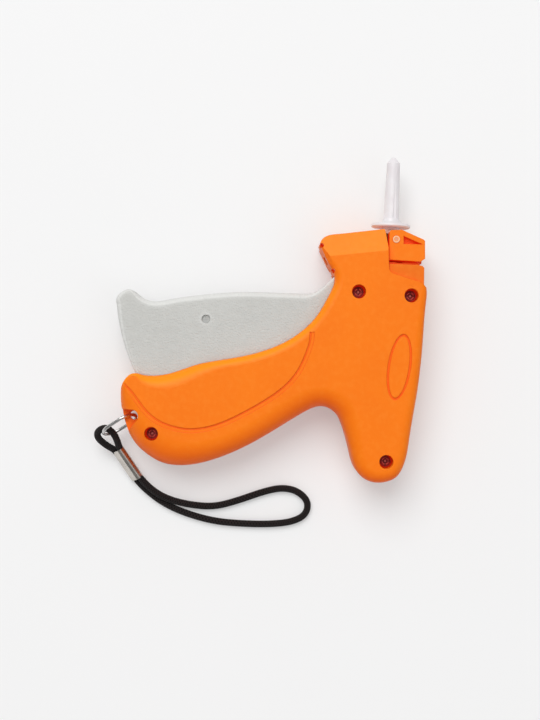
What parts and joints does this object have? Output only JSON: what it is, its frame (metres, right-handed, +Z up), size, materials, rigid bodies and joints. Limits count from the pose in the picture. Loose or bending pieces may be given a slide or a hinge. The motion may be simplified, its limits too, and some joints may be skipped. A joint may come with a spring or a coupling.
{
  "type": "garment tag attacher",
  "caption": "Hand-held pistol-grip tag attacher with a squeeze trigger, slotted needle under a pull-off cap, swinging needle latch, clip slot and wrist lanyard.",
  "frame": {"origin": "on the supporting surface under the middle of the gun's box, without the lanyard", "axes": "+Z up from the surface, the gun lies on its right side; +Y the way the needle points; +X the top of the gun"},
  "size_m": [0.1361, 0.1591, 0.026],
  "materials": {
    "casing_orange": "satin",
    "trigger_grey": "matte",
    "cap_pale": "satin",
    "pin_pale": "satin",
    "pin_steel": "satin",
    "needle_steel": "polished",
    "screw_steel": "satin",
    "lever_black": "matte",
    "bush_brass": "satin",
    "buffer_rubber": "matte",
    "ring_chrome": "polished",
    "cord_black": "woven"
  },
  "bodies": {
    "casing": {"left_casing": "casing_orange", "right_casing": "casing_orange", "casing_screws": "screw_steel", "trigger_pivot_pin": "pin_steel", "lever_pivot_pin": "pin_steel", "rod_guide_bush": "bush_brass", "slide_buffer": "buffer_rubber", "needle": "needle_steel", "needle_hub": "lever_black", "latch_pin": "pin_pale", "latch_bracket": "needle_steel", "feed_block": "casing_orange", "feed_wheel_shaft": "pin_steel", "pawl_pivot_pin": "pin_steel", "cutter_blade": "needle_steel", "clip_exit_guide": "lever_black", "wheel_brake_spring": "needle_steel", "return_spring": "pin_steel"},
    "trigger_body": {"trigger": "trigger_grey"},
    "lever_body": {"drive_lever": "lever_black", "lever_cam_pin": "pin_steel"},
    "slide_body": {"ejector_slide": "lever_black", "slide_drive_pin": "pin_steel", "ejector_rod": "pin_steel"},
    "latch_body": {"needle_latch": "casing_orange"},
    "wheel_body": {"feed_wheel": "lever_black"},
    "pawl_body": {"feed_pawl": "lever_black"},
    "cap_body": {"needle_cap": "cap_pale"},
    "lanyard_body": {"lanyard_ring": "ring_chrome", "strap_ferrule": "ring_chrome", "strap_cord": "cord_black"}
  },
  "joints": [
    {"name": "trigger_pull", "type": "hinge", "parent": "casing", "child": "trigger_body", "pos_m": [0.03118, 0.01919, 0.013], "axis": [0, 0, 1], "range_deg": [0, 17.5], "stiffness_Nm_per_rad": 0.6, "springref_deg": -20.05},
    {"name": "lever_swing", "type": "hinge", "parent": "casing", "child": "lever_body", "pos_m": [0.0165, -0.028, 0.013], "axis": [0, 0, 1], "range_deg": [0, 63.65], "deforming": ["return_spring"]},
    {"name": "slide_travel", "type": "slide", "parent": "casing", "child": "slide_body", "axis": [0, 1, 0], "range_m": [0, 0.04]},
    {"name": "pawl_index", "type": "hinge", "parent": "casing", "child": "pawl_body", "pos_m": [0.0486, 0.004, 0.0034], "axis": [0, 0, 1], "range_deg": [-5, 0]},
    {"name": "feed_wheel_turn", "type": "hinge", "parent": "casing", "child": "wheel_body", "pos_m": [0.052, 0.0294, 0.0088], "axis": [0, 1, 0], "continuous": true},
    {"name": "latch_open", "type": "hinge", "parent": "casing", "child": "latch_body", "pos_m": [0.0502, 0.03319, 0.0185], "axis": [0, 0, 1], "range_deg": [0, 28]},
    {"name": "cap_pull", "type": "slide", "parent": "casing", "child": "cap_body", "axis": [0, 1, 0], "range_m": [0, 0.04]},
    {"name": "lanyard_swing", "type": "hinge", "parent": "casing", "child": "lanyard_body", "pos_m": [-0.05527, -0.04444, 0.013], "axis": [0, 0, 1], "range_deg": [-30, 3]}
  ],
  "couplings": [
    {"joint": "lever_swing", "follows": "trigger_pull", "ratio": 3.6372},
    {"joint": "slide_travel", "follows": "trigger_pull", "m_per_rad": 0.13096},
    {"joint": "pawl_index", "follows": "trigger_pull", "ratio": -0.28571}
  ]
}
